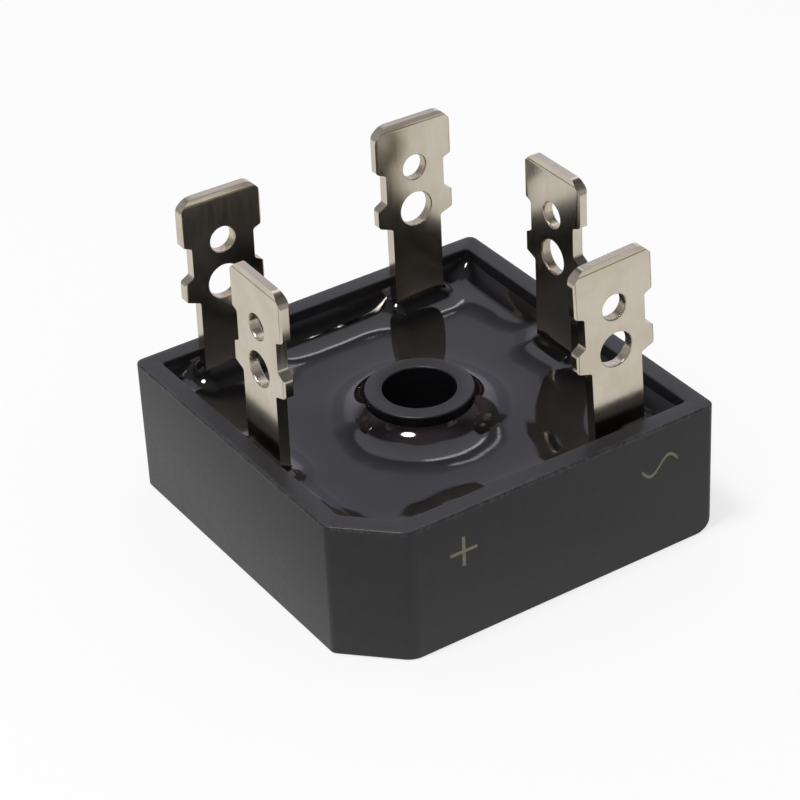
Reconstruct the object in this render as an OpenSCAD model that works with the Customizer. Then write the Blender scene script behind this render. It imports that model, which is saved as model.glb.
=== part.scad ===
// Three-phase bridge rectifier module: a potted square case with a centre screw bore,
// five blade terminals and a heat-spreading base plate. Millimetres, +Z up, origin on
// the bore's axis at the underside. The marked face looks along -Y.

/* [Case] */
// Side of the square case
case_w = 28.5; // [27:0.1:31]
// Height of the case
case_h = 10.15; // [9:0.05:12]
// Thickness of the case wall
wall_t = 1.45; // [1.2:0.05:1.8]
// Leg of the cut corner
corner_cut = 3.85; // [2.5:0.05:4.5]
// Radius on the upright edges of the case
edge_r = 0.6; // [0.3:0.1:1]

/* [Centre post] */
// Diameter of the screw bore
bore_d = 5.1; // [4.4:0.1:5.6]
// Outside diameter of the post
post_d = 7.6; // [7:0.1:8.2]
// How far the top of the post lies below the rim
post_drop = 0.4; // [0.2:0.05:0.8]
// Width of the two ribs that join the post to the wall
rib_w = 1; // [0.6:0.1:1.2]

/* [Base] */
// Thickness of the base plate
plate_t = 1.6; // [1:0.1:2]
// Width of the ledge that the base plate is set under
ledge_w = 0.6; // [0.4:0.1:0.8]
// Clearance round the base plate and the insulator
seat_gap = 0.1; // [0.05:0.05:0.2]
// Thickness of the ceramic insulator
insulator_t = 0.6; // [0.4:0.1:1]

/* [Circuit] */
// Thickness of the two bus sheets
bus_t = 0.8; // [0.5:0.1:1]
// Space between the two bus sheets
bus_gap = 1.5; // [1.4:0.1:2]
// Distance kept between live copper and the case wall or the post
creep = 0.5; // [0.4:0.1:0.6]
// Side of a diode chip
die_w = 3.4; // [2.8:0.1:3.6]
// Thickness of a diode chip
die_t = 0.3; // [0.25:0.05:0.5]
// Thickness of the AC straps
link_t = 0.6; // [0.4:0.1:0.8]

/* [Terminals] */
// Height of the tips of the terminals above the underside
tip_z = 22.8; // [21:0.1:24]
// Width of the blade, for a quarter-inch receptacle
tab_w = 6.25; // [6.2:0.05:6.4]
// Thickness of the terminal strip
tab_t = 0.8; // [0.7:0.05:0.9]
// Gap between an AC tab and the wall behind it
ac_gap = 0.8; // [0.6:0.05:1]
// Distance from the side walls to the middle of the AC tabs
ac_side = 4.85; // [4.6:0.05:5]
// Gap between the plus and minus tabs and the wall behind them
dc_gap = 0.6; // [0.5:0.05:0.8]
// Sideways shift of the tabs, in the order plus, minus, AC 1, AC 2, AC 3
tab_shift = [-0.4, -0.1, -0.35, -0.35, 0.2]; // [-0.5:0.05:0.5]
// Sideways lean of the tabs in degrees, in the same order
tab_lean = [1.4, -0.3, 0.9, 0.4, -2.7]; // [-3:0.1:3]

/* [Casting resin] */
// How far the open field of the resin lies below the rim
resin_drop = 2.25; // [1.8:0.05:2.6]
// Height that the resin climbs at the walls
climb = 1.5; // [1:0.05:1.6]
// Height that the resin climbs at the post
post_climb = 1.2; // [0.8:0.05:1.3]

/* [Hidden] */
$fn = 64;
eps = 0.01;

// Plan of the case
half_out = case_w / 2;
half_in = half_out - wall_t;
half_ledge = half_in + ledge_w;
half_insulator = half_in - seat_gap;
half_bus = half_in - creep;
post_r = post_d / 2;
post_top = case_h - post_drop;

// Levels of the stack, from the underside up
insulator_z = plate_t;
bus_z = insulator_z + insulator_t;
die_z = bus_z + bus_t;
link_z = die_z + die_t;
foot_ac_z = link_z + link_t;
rib_h = bus_t + die_t / 2;

// Shape of a terminal, measured down from its tip
tip_cut = 0.8;
neck_half = 2.42;
neck_from = 3.4;
neck_slope = 0.3;
neck_to = 5.95;
ear_slope = 0.4;
ear_to = 7.65;
stem_half = 2.03;
stem_from = 8.05;
eye_down = 3.71;
eye_d = 1.86;
slot_eye_down = 6.97;
slot_eye_d = 2.52;
bevel_in = 0.35;
bevel_t = 0.22;
bend_r = 0.5;
foot_len = 3.6;
lap = 0.5;
knee_z = foot_ac_z + bend_r + tab_t + 2 * lap;

// Resin: its open field, its rise at the post, the flat land beside a wall and the small
// step at the foot of a rise
resin_z = case_h - resin_drop;
post_rise = min(post_climb, post_top - resin_z - 0.05);
land = 0.1;
step = 0.02;

// Places of the tabs
ac_x = half_in - ac_side;
ac_y = half_in - ac_gap - tab_t / 2;
dc_x = half_in - dc_gap - tab_t / 2;

// Rows of chips and straps
row_gap = 0.5;
back_row = half_in - ac_gap - foot_len / 2;
inner_row = back_row - die_w - row_gap;
front_row = -back_row;
pad_half = 2.4;
pad_deep = foot_len / 2;
strap_half = 1.5;
inner_half = 1.2;
neck_in = 0.6;
inner_shift = 1.9;
front_shift = 1.1;
edge_gap = 0.1;
ac_1_x = -ac_x + tab_shift[2];
ac_2_x = ac_x + tab_shift[3];
ac_3_x = ac_x + tab_shift[4];
die_near = bus_gap / 2 + die_w / 2 + edge_gap;
// Middle of each chip: the first three lie on the plus bus, the others on the minus bus
DICE = [[ac_1_x, back_row], [-die_near - inner_shift, inner_row],
        [front_shift - ac_x, front_row],
        [die_near, back_row], [ac_2_x, back_row], [ac_3_x, front_row]];

// Corner points of the case's plan at a half width: a square with one corner cut off.
// The cut follows the wall, so that the wall is equally thick all round.
function plan(half) =
    let (cut = corner_cut - (half_out - half) * (2 - sqrt(2)))
    [[-half + cut, -half], [half, -half], [half, half], [-half, half], [-half, -half + cut]];

function unit(v) = v / norm(v);

// Centre of the arc that rounds the corner b between a and c
function arc_centre(a, b, c, r) =
    let (u = unit(a - b), v = unit(c - b), half_angle = acos(u * v) / 2)
    b + unit(u + v) * r / sin(half_angle);

// Where that arc leaves the side from b towards a
function arc_end(a, b, c, r) =
    let (u = unit(a - b), v = unit(c - b), half_angle = acos(u * v) / 2)
    b + u * r / tan(half_angle);

// A convex outline with its corners rounded by true arcs
module rounded(points, r) {
    n = len(points);
    polygon([for (i = [0 : n - 1], side = [0, 1])
        let (before = points[(i + n - 1) % n], here = points[i], after = points[(i + 1) % n])
        side == 0 ? arc_end(before, here, after, r) : arc_end(after, here, before, r)]);
    for (i = [0 : n - 1])
        translate(arc_centre(points[(i + n - 1) % n], points[i], points[(i + 1) % n], r))
            circle(r = r);
}

module prism(z0, z1) {
    translate([0, 0, z0])
        linear_extrude(z1 - z0)
            children();
}

// The centre post without its bore
module post() {
    prism(plate_t, post_top) circle(post_r);
}

// The two ribs between the bus sheets, from the post to the wall
module ribs() {
    prism(bus_z, bus_z + rib_h) square([rib_w, 2 * half_in + eps], center = true);
}

// The moulded case: wall, post and ribs in one piece
module housing() {
    color([0.25, 0.25, 0.27])
    difference() {
        union() {
            difference() {
                prism(0, case_h) rounded(plan(half_out), edge_r);
                prism(plate_t, case_h + eps) polygon(plan(half_in));
                prism(-eps, plate_t) rounded(plan(half_ledge + seat_gap), edge_r);
            }
            post();
            ribs();
        }
        prism(plate_t - eps, case_h) circle(d = bore_d);
    }
}

// The heat spreader, flush with the underside
module base_plate() {
    color([0.72, 0.73, 0.74])
    difference() {
        prism(0, plate_t) rounded(plan(half_ledge), edge_r);
        prism(-eps, plate_t + eps) circle(d = bore_d);
    }
}

module insulator() {
    color([0.93, 0.93, 0.9])
    difference() {
        prism(insulator_z, bus_z) polygon(plan(half_insulator));
        prism(insulator_z - eps, bus_z + eps) circle(post_r + seat_gap);
    }
}

// Half of the case's floor in copper, on one side of the middle gap
module bus(side) {
    color([0.78, 0.5, 0.32])
    prism(bus_z, die_z)
    difference() {
        intersection() {
            polygon(plan(half_bus));
            translate([side * (bus_gap / 2 + half_bus), 0])
                square(2 * half_bus, center = true);
        }
        circle(post_r + creep);
    }
}

// A strap of copper that lies on the chips
module link(points) {
    color([0.78, 0.5, 0.32])
    prism(link_z, foot_ac_z) polygon(points);
}

// Strap of AC 1: from the back left pad straight to its chip on the minus bus
module link_ac_1() {
    left = ac_1_x - pad_half;
    pad_right = ac_1_x + pad_half;
    right = die_near + die_w / 2;
    link([[left, back_row - pad_deep], [pad_right, back_row - pad_deep],
          [pad_right + neck_in, back_row - strap_half], [right, back_row - strap_half],
          [right, back_row + strap_half], [pad_right + neck_in, back_row + strap_half],
          [pad_right, back_row + pad_deep], [left, back_row + pad_deep]]);
}

// Strap of AC 2: from the back right pad, round the post, to its chip on the plus bus
module link_ac_2() {
    left = DICE[1][0] - die_w / 2;
    pad_left = ac_2_x - pad_half;
    right = ac_2_x + pad_half;
    link([[left, inner_row - inner_half], [right - inner_half, inner_row - inner_half],
          [right, inner_row], [right, back_row + pad_deep],
          [pad_left, back_row + pad_deep], [pad_left, inner_row + strap_half],
          [left, inner_row + strap_half]]);
}

// Strap of AC 3: along the front, from the right pad to its chip on the plus bus
module link_ac_3() {
    left = DICE[2][0] - die_w / 2;
    pad_left = ac_3_x - pad_half;
    right = ac_3_x + pad_half;
    link([[left, front_row - strap_half], [pad_left - neck_in, front_row - strap_half],
          [pad_left, front_row - pad_deep], [right, front_row - pad_deep],
          [right, front_row + pad_deep], [pad_left, front_row + pad_deep],
          [pad_left - neck_in, front_row + strap_half], [left, front_row + strap_half]]);
}

module diode(i) {
    color([0.42, 0.43, 0.46])
    translate([DICE[i][0], DICE[i][1], die_z + die_t / 2])
        cube([die_w, die_w, die_t], center = true);
}

// Half of the blade's outline, from the tip down to the knee, as [across, up]
function blade_side() = [
    [tab_w / 2 - tip_cut, tip_z], [tab_w / 2, tip_z - tip_cut],
    [tab_w / 2, tip_z - neck_from], [neck_half, tip_z - neck_from - neck_slope],
    [neck_half, tip_z - neck_to], [tab_w / 2, tip_z - neck_to - ear_slope],
    [tab_w / 2, tip_z - ear_to], [stem_half, tip_z - stem_from],
    [stem_half, knee_z - 0.5]];

function mirrored(points) =
    concat(points, [for (i = [len(points) - 1 : -1 : 0]) [-points[i][0], points[i][1]]]);

// Thickness of the strip seen from the side: the tip is coined to a thinner edge
module blade_section() {
    thin = tab_t / 2 - bevel_t;
    polygon([[-tab_t / 2, 0], [tab_t / 2, 0], [tab_t / 2, tip_z - 2 * bevel_in],
             [thin, tip_z], [-thin, tip_z], [-tab_t / 2, tip_z - 2 * bevel_in]]);
}

// The same from above: both side edges of the blade are coined
module blade_plan() {
    thin = tab_t / 2 - bevel_t;
    flat_half = tab_w / 2 - bevel_in;
    polygon([[-flat_half, -tab_t / 2], [flat_half, -tab_t / 2], [tab_w / 2, -thin],
             [tab_w / 2, thin], [flat_half, tab_t / 2], [-flat_half, tab_t / 2],
             [-tab_w / 2, thin], [-tab_w / 2, -thin]]);
}

// The upright blade with its two eyes, its faces along X
module blade() {
    difference() {
        intersection() {
            rotate([90, 0, 0])
                translate([0, 0, -tab_t / 2])
                    linear_extrude(tab_t)
                        polygon(mirrored(blade_side()));
            rotate([90, 0, 90])
                translate([0, 0, -tab_w / 2])
                    linear_extrude(tab_w)
                        blade_section();
            linear_extrude(tip_z) blade_plan();
        }
        for (eye = [[eye_down, eye_d], [slot_eye_down, slot_eye_d]])
            translate([0, 0, tip_z - eye[0]])
                rotate([90, 0, 0])
                    cylinder(d = eye[1], h = 2 * tab_t, center = true);
    }
}

// A bent terminal: the foot points along -Y and its underside is at foot_z
module terminal(foot_z, lean) {
    outer_r = bend_r + tab_t;
    color([0.76, 0.72, 0.65])
    union() {
        translate([0, 0, knee_z])
            rotate([0, lean, 0])
                translate([0, 0, -knee_z])
                    blade();
        translate([-stem_half, -tab_t / 2, foot_z + outer_r])
            cube([2 * stem_half, tab_t, knee_z - foot_z - outer_r]);
        translate([-stem_half, tab_t / 2 - outer_r, foot_z + outer_r])
            rotate([0, 90, 0])
                rotate_extrude(angle = 90)
                    translate([bend_r, 0])
                        square([tab_t, 2 * stem_half]);
        translate([-stem_half, tab_t / 2 - foot_len, foot_z])
            cube([2 * stem_half, foot_len - outer_r, tab_t]);
    }
}

module terminal_plus() {
    translate([-dc_x, -tab_shift[0], 0]) rotate(90) mirror([1, 0, 0])
        terminal(die_z, tab_lean[0]);
}

module terminal_minus() {
    translate([dc_x, -tab_shift[1], 0]) rotate(-90)
        terminal(die_z, tab_lean[1]);
}

module terminal_ac_1() {
    translate([ac_1_x, ac_y, 0]) terminal(foot_ac_z, tab_lean[2]);
}

module terminal_ac_2() {
    translate([ac_2_x, ac_y, 0]) terminal(foot_ac_z, tab_lean[3]);
}

module terminal_ac_3() {
    translate([ac_3_x, -ac_y, 0]) mirror([0, 1, 0]) terminal(foot_ac_z, tab_lean[4]);
}

// Section of the resin's rise beside a surface, which lies at x = 0: a flat land, then a
// hollow curve down to a small step on the open field
module rise(height) {
    reach = land + height;
    difference() {
        translate([-lap, resin_z - lap])
            square([lap + reach, lap + step + height]);
        translate([reach, resin_z + step + height])
            circle(r = height);
    }
}

// The ring of resin that climbs the post
module collar() {
    rotate_extrude()
        translate([post_r, 0])
            rise(post_rise);
}

// The resin's rise along every side of the case, trimmed to the case's inside
module wall_rises() {
    inside = plan(half_in);
    n = len(inside);
    intersection() {
        prism(bus_z, case_h) polygon(inside);
        union() {
            for (i = [0 : n - 1]) {
                side = inside[(i + 1) % n] - inside[i];
                translate([inside[i][0], inside[i][1], 0])
                    rotate([90, 0, atan2(side[1], side[0]) + 90])
                        linear_extrude(norm(side))
                            rise(climb);
            }
        }
    }
}

// The casting resin: what is left of the case's inside round all the buried pieces
module potting() {
    color([0.05, 0.05, 0.06])
    difference() {
        union() {
            prism(bus_z, resin_z) polygon(plan(half_in));
            wall_rises();
            collar();
        }
        post();
        ribs();
        bus_plus();
        bus_minus();
        link_ac_1();
        link_ac_2();
        link_ac_3();
        for (i = [0 : len(DICE) - 1]) diode(i);
        terminal_plus();
        terminal_minus();
        terminal_ac_1();
        terminal_ac_2();
        terminal_ac_3();
    }
}

module bus_plus() {
    bus(-1);
}

module bus_minus() {
    bus(1);
}

housing();
base_plate();
insulator();
bus_plus();
bus_minus();
link_ac_1();
link_ac_2();
link_ac_3();
diode(0);  // diode_1
diode(1);  // diode_2
diode(2);  // diode_3
diode(3);  // diode_4
diode(4);  // diode_5
diode(5);  // diode_6
terminal_plus();
terminal_minus();
terminal_ac_1();
terminal_ac_2();
terminal_ac_3();
potting();
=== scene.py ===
# %% [markdown]
# # A potted three-phase bridge rectifier
#
# The object is a small power part, 28.5 mm square: a black moulded case with one corner
# cut off, black epoxy poured into it, a post in the middle for the mounting screw, and
# five nickel-plated blade terminals that stand up out of the resin.
#
# The solids come packed from the CAD step and are loaded as a fixed frame. Every visible
# part is then dressed: the case, the resin, the blades and the base plate get meshes of
# their own with the small radii, the resin's climbs and the coined edges that a CAD solid
# leaves out, and the buried parts keep their solids and get better materials.

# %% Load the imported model
import math

import bmesh
import bpy
from mathutils import Matrix, Quaternion, Vector, noise


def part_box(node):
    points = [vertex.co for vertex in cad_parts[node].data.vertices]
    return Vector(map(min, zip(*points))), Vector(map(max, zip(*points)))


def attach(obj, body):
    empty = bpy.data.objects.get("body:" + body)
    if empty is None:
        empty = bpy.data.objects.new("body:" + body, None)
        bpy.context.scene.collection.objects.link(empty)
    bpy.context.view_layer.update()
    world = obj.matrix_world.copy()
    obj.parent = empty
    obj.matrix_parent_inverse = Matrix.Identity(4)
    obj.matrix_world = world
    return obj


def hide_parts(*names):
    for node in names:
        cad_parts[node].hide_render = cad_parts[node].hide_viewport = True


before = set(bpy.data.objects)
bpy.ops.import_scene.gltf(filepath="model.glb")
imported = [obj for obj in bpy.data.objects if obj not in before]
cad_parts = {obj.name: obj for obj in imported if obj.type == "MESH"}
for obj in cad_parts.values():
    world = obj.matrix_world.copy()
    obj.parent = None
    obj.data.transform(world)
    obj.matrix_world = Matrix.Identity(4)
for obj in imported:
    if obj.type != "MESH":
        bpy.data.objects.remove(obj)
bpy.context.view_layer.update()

MM = 0.001
print("solids:", len(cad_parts))

# %% [markdown]
# ## Camera and view
#
# The part is seen from the front left, 33 degrees above the bench, with a long lens, so
# that the upright blades stay nearly parallel. The camera is aimed at a point and then
# rolled by almost three degrees. The view transform is Standard, so a colour in a
# material is the colour on the screen.

# %% Camera
scene = bpy.context.scene
scene.view_settings.view_transform = "Standard"

EYE = Vector((-89.356, -140.213, 117.228)) * MM
AIM = Vector((0.974, 4.121, 6.146)) * MM
ROLL = math.radians(-2.9)
SENSOR = 36.0
LENS = 130.94

camera = bpy.data.objects.new("camera", bpy.data.cameras.new("camera"))
scene.collection.objects.link(camera)
camera.location = EYE
camera.rotation_mode = "QUATERNION"
camera.rotation_quaternion = (AIM - EYE).to_track_quat("-Z", "Y") @ Quaternion((0, 0, 1), ROLL)
camera.data.sensor_width = SENSOR
camera.data.lens = LENS
camera.data.clip_start, camera.data.clip_end = 0.01, 10
scene.camera = camera
print("camera distance in mm:", round((AIM - EYE).length / MM, 1))

# %% [markdown]
# ## Node helpers
#
# A material is a small graph. A few helpers keep the cells below short: they add a node
# and set its properties, feed a socket with a value or another node's output, do sums,
# and start a shader node group with named inputs and outputs. Effects that several
# finishes share, such as grain or specks, are groups. The Principled shader always stays
# in the material itself, so that the export can bake it.


# %% Helpers for node trees
def add(tree, kind, **settings):
    """Adds a node; settings are its properties, such as operation="ADD"."""
    made = tree.nodes.new(kind)
    for name, value in settings.items():
        setattr(made, name, value)
    return made


def feed(tree, socket, value):
    """Gives a socket a plain value, or the output of another node."""
    if isinstance(value, bpy.types.NodeSocket):
        tree.links.new(value, socket)
    else:
        socket.default_value = value


def maths(tree, operation, *values, clamp=False):
    """A Math node on one to three values or outputs."""
    made = add(tree, "ShaderNodeMath", operation=operation, use_clamp=clamp)
    for socket, value in zip(made.inputs, values):
        feed(tree, socket, value)
    return made.outputs[0]


def plus(tree, a, b):
    """The sum of two values or outputs."""
    return maths(tree, "ADD", a, b)


def minus(tree, a, b):
    """The first less the second."""
    return maths(tree, "SUBTRACT", a, b)


def times(tree, a, b):
    """The product of two values or outputs."""
    return maths(tree, "MULTIPLY", a, b)


def span(tree, value, low, high, to_low=0.0, to_high=1.0):
    """A Map Range node: low..high becomes to_low..to_high, smooth at both ends."""
    made = add(tree, "ShaderNodeMapRange", interpolation_type="SMOOTHSTEP")
    names = ("Value", "From Min", "From Max", "To Min", "To Max")
    for name, v in zip(names, (value, low, high, to_low, to_high)):
        feed(tree, made.inputs[name], v)
    return made.outputs[0]


def blend_colour(tree, factor, a, b, mode="MIX"):
    """A Mix node on two colours."""
    made = add(tree, "ShaderNodeMix", data_type="RGBA", blend_type=mode)
    feed(tree, made.inputs[0], factor)
    feed(tree, made.inputs[6], a)
    feed(tree, made.inputs[7], b)
    return made.outputs[2]


def axes_of(tree, vector):
    """The three numbers of a vector."""
    split = add(tree, "ShaderNodeSeparateXYZ")
    feed(tree, split.inputs[0], vector)
    return split.outputs


def distance_from_axis(tree, x, y):
    """How far a point lies from the axis of the screw."""
    return maths(tree, "SQRT", plus(tree, times(tree, x, x), times(tree, y, y)))


def new_group(name, inputs, outputs):
    """An empty shader node group; returns the group and the sockets inside it."""
    tree = bpy.data.node_groups.new(name, "ShaderNodeTree")
    for label, default in inputs.items():
        kind = "NodeSocketVector" if default is None else "NodeSocketFloat"
        socket = tree.interface.new_socket(name=label, in_out="INPUT", socket_type=kind)
        if default is not None:
            socket.default_value = default
    for label in outputs:
        tree.interface.new_socket(name=label, in_out="OUTPUT", socket_type="NodeSocketFloat")
    return tree, add(tree, "NodeGroupInput").outputs, add(tree, "NodeGroupOutput").inputs


def place_group(tree, group, **values):
    """Puts a group into a material; underscores in the names stand for spaces."""
    made = add(tree, "ShaderNodeGroup", node_tree=group)
    for name, value in values.items():
        feed(tree, made.inputs[name.replace("_", " ")], value)
    return made.outputs


# %% [markdown]
# ## Three shared effects
#
# * **Grain** is the fine unevenness of a moulded or cast surface: two noises, one coarse
#   and one fine, mixed into a height.
# * **Brushed** is noise pulled out along one axis, as rolled and plated strip shows it.
# * **Specks** are sparse dots: dust on the resin, pits in the plating, light flecks of
#   filler in the moulding.
#
# All of them take coordinates in millimetres, so a scale of 5 means five features to the
# millimetre.

# %% Group: grain
grain, ins, outs = new_group(
    "grain", {"Coordinates": None, "Scale": 5.0, "Coarse Share": 0.5}, ["Height", "Patches"])
fine = add(grain, "ShaderNodeTexNoise")
coarse = add(grain, "ShaderNodeTexNoise")
for made, factor in ((fine, 1.0), (coarse, 0.12)):
    feed(grain, made.inputs["Vector"], ins["Coordinates"])
    feed(grain, made.inputs["Scale"], times(grain, ins["Scale"], factor))
    made.inputs["Detail"].default_value = 4.0
    made.inputs["Roughness"].default_value = 0.6
share = minus(grain, 1.0, ins["Coarse Share"])
height = plus(grain, times(grain, fine.outputs[0], share),
              times(grain, coarse.outputs[0], ins["Coarse Share"]))
feed(grain, outs["Height"], height)
feed(grain, outs["Patches"], span(grain, coarse.outputs[0], 0.35, 0.65))
print("group:", grain.name)

# %% Group: brushed
brushed, ins, outs = new_group(
    "brushed", {"Coordinates": None, "Scale": 6.0, "Stretch": 0.05}, ["Height"])
pull = add(brushed, "ShaderNodeCombineXYZ")
for socket, value in zip(pull.inputs, (1.0, 1.0, ins["Stretch"])):
    feed(brushed, socket, value)
pulled = add(brushed, "ShaderNodeVectorMath", operation="MULTIPLY")
feed(brushed, pulled.inputs[0], ins["Coordinates"])
feed(brushed, pulled.inputs[1], pull.outputs[0])
lines = add(brushed, "ShaderNodeTexNoise")
feed(brushed, lines.inputs["Vector"], pulled.outputs[0])
feed(brushed, lines.inputs["Scale"], ins["Scale"])
lines.inputs["Detail"].default_value = 5.0
lines.inputs["Roughness"].default_value = 0.65
feed(brushed, outs["Height"], lines.outputs[0])
print("group:", brushed.name)

# %% Group: specks
specks, ins, outs = new_group(
    "specks", {"Coordinates": None, "Scale": 2.0, "Size": 0.12, "Share": 0.2}, ["Mask"])
cells = add(specks, "ShaderNodeTexVoronoi")
feed(specks, cells.inputs["Vector"], ins["Coordinates"])
feed(specks, cells.inputs["Scale"], ins["Scale"])
draw = add(specks, "ShaderNodeSeparateColor")
feed(specks, draw.inputs[0], cells.outputs["Color"])
chosen = maths(specks, "LESS_THAN", draw.outputs[0], ins["Share"])
core = times(specks, ins["Size"], 0.4)
dot = span(specks, cells.outputs["Distance"], ins["Size"], core)
feed(specks, outs["Mask"], times(specks, chosen, dot))
print("group:", specks.name)


# %% [markdown]
# ## Finishes
#
# Each finish is one material. `start` gives the material, its shader and its coordinates
# in millimetres, measured from the origin of the frame, so a pattern stays put when the
# part is moved or exported.


# %% A new material
def start(name, **shader_values):
    """A material with a Principled shader; shader_values are its plain sockets."""
    made = bpy.data.materials.new(name)
    made.use_nodes = True
    tree = made.node_tree
    shader = tree.nodes["Principled BSDF"]
    for label, value in shader_values.items():
        shader.inputs[label.replace("_", " ")].default_value = value
    place = add(tree, "ShaderNodeTexCoord")
    to_mm = add(tree, "ShaderNodeMapping")
    to_mm.inputs["Scale"].default_value = (1000, 1000, 1000)
    feed(tree, to_mm.inputs["Vector"], place.outputs["Object"])
    return made, tree, shader, to_mm.outputs[0]


def bump(tree, shader, height, depth_mm, strength=1.0):
    """Lets a height, 0 to 1, push the surface by depth_mm."""
    made = add(tree, "ShaderNodeBump")
    made.inputs["Strength"].default_value = strength
    made.inputs["Distance"].default_value = depth_mm * MM
    feed(tree, made.inputs["Height"], height)
    feed(tree, shader.inputs["Normal"], made.outputs[0])


# %% [markdown]
# ### The moulding
#
# The case is a black glass-filled moulding, satin rather than matt: most of what one sees
# on it is the soft reflection of the white surroundings. Its sides carry a fine grain,
# and along the upper edge the skin of the moulding is worn through in light flecks.
#
# The front face is marked by laser in a dull olive. The marks drawn here are two plain
# electrical signs: a plus beside the plus terminal and a wave beside the AC terminal. They
# are masks in the material, because a laser mark has no thickness.


# %% Strokes for the laser marks
MARK_EDGE = 0.03


def band(tree, value, half, soft):
    """1 where value lies within half of 0, with a soft edge."""
    return span(tree, maths(tree, "ABSOLUTE", value), half + soft, half - soft)


def stroke(tree, u, v, a, b, width):
    """Mask of a straight stroke from a to b on the plane of u and v, in millimetres."""
    along = Vector((b[0] - a[0], b[1] - a[1]))
    size = along.length
    d = along / size
    mid = ((a[0] + b[0]) / 2, (a[1] + b[1]) / 2)
    du = minus(tree, u, mid[0])
    dv = minus(tree, v, mid[1])
    lengthwise = plus(tree, times(tree, du, d.x), times(tree, dv, d.y))
    across = minus(tree, times(tree, dv, d.x), times(tree, du, d.y))
    return times(tree, band(tree, lengthwise, size / 2, MARK_EDGE),
                 band(tree, across, width / 2, MARK_EDGE))


def wave(tree, u, v, centre, length, rise, width):
    """Mask of one full wave, the sign for alternating current."""
    du = minus(tree, u, centre[0])
    dv = minus(tree, v, centre[1])
    swing = maths(tree, "SINE", times(tree, du, 2 * math.pi / length))
    off_curve = minus(tree, dv, times(tree, swing, rise))
    return times(tree, band(tree, du, length / 2, MARK_EDGE),
                 band(tree, off_curve, width / 2, 0.04))


def union(tree, masks):
    """The highest of several masks."""
    result = masks[0]
    for mask in masks[1:]:
        result = maths(tree, "MAXIMUM", result, mask)
    return result


# %% Finish: black moulding
# Half the width of the case, the leg of its cut corner, and the levels of its two tops
CASE_HALF = 14.25
CUT = 3.85
RIM_LEVEL = 10.14
RING_LEVEL = 9.74
# The marks: their level, their places along the face, half a plus, and the line's width
MARK_LEVEL = 7.0
PLUS_AT = -6.27
PLUS_HALF_WIDE, PLUS_HALF_HIGH = 1.05, 1.15
WAVE_AT = 9.6
LINE = 0.25
# Resin has crept up the post's side to this level
CREEP_R = 3.9
CREEP_TOP = 9.62

case_finish, tree, shader, at = start("moulded_black", IOR=1.46)
x, y, z = axes_of(tree, at)
texture = place_group(tree, grain, Coordinates=at, Scale=7.0, Coarse_Share=0.25)
flecks = place_group(tree, specks, Coordinates=at, Scale=3.2, Size=0.16, Share=0.18)
ragged = place_group(tree, grain, Coordinates=at, Scale=3.0, Coarse_Share=0.15)

charcoal = blend_colour(tree, texture["Patches"],
                        (0.0065, 0.006, 0.0072, 1), (0.0095, 0.0088, 0.0105, 1))
# Painted light: the flat tops of the rim and the post get a lighter tone, standing in for the
# light they catch
on_post = span(tree, distance_from_axis(tree, x, y), CREEP_R + 0.3, CREEP_R)
on_ring = times(tree, on_post, span(tree, z, RING_LEVEL - 0.04, RING_LEVEL))
painted_light_tops = maths(tree, "MAXIMUM", span(tree, z, RIM_LEVEL - 0.06, RIM_LEVEL), on_ring)
charcoal = blend_colour(tree, painted_light_tops, charcoal, (0.017, 0.0165, 0.0185, 1))
# Along the outer edge of the rim the skin is worn through in patches
widest = maths(tree, "MAXIMUM", maths(tree, "ABSOLUTE", x), maths(tree, "ABSOLUTE", y))
beyond_square = minus(tree, widest, CASE_HALF)
to_cut = plus(tree, plus(tree, x, y), 2 * CASE_HALF - CUT)
outer = maths(tree, "MAXIMUM", beyond_square, times(tree, to_cut, -0.7071))
rim_line = times(tree, span(tree, z, 9.8, 10.0), span(tree, outer, -0.4, -0.1))
worn = times(tree, rim_line, span(tree, ragged["Height"], 0.4, 0.64))
charcoal = blend_colour(tree, times(tree, worn, 0.55), charcoal, (0.06, 0.056, 0.06, 1))
charcoal = blend_colour(tree, times(tree, flecks["Mask"], 0.45), charcoal,
                        (0.045, 0.043, 0.045, 1))

signs = [
    stroke(tree, x, z, (PLUS_AT - PLUS_HALF_WIDE, MARK_LEVEL),
           (PLUS_AT + PLUS_HALF_WIDE, MARK_LEVEL), LINE),
    stroke(tree, x, z, (PLUS_AT, MARK_LEVEL - PLUS_HALF_HIGH),
           (PLUS_AT, MARK_LEVEL + PLUS_HALF_HIGH), LINE),
    wave(tree, x, z, (WAVE_AT, MARK_LEVEL + 0.1), 3.0, 0.6, LINE),
]
# The marks lie on the front face only
front = span(tree, y, 0.15 - CASE_HALF, 0.05 - CASE_HALF)
marked = times(tree, union(tree, signs), front)
charcoal = blend_colour(tree, times(tree, marked, 0.95), charcoal, (0.17, 0.155, 0.105, 1))
ragged_level = plus(tree, z, times(tree, ragged["Height"], 0.5))
crept = span(tree, ragged_level, CREEP_TOP + 0.30, CREEP_TOP + 0.24)
creep = times(tree, on_post, crept)
charcoal = blend_colour(tree, creep, charcoal, (0.0025, 0.0022, 0.0026, 1))
feed(tree, shader.inputs["Base Color"], charcoal)
rough = span(tree, texture["Height"], 0.3, 0.7, 0.36, 0.46)
rough = plus(tree, rough, times(tree, marked, 0.2))
rough = minus(tree, rough, times(tree, creep, 0.12))
feed(tree, shader.inputs["Roughness"], rough)
bump(tree, shader, texture["Height"], 0.012)
print("finish:", case_finish.name)
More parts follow.
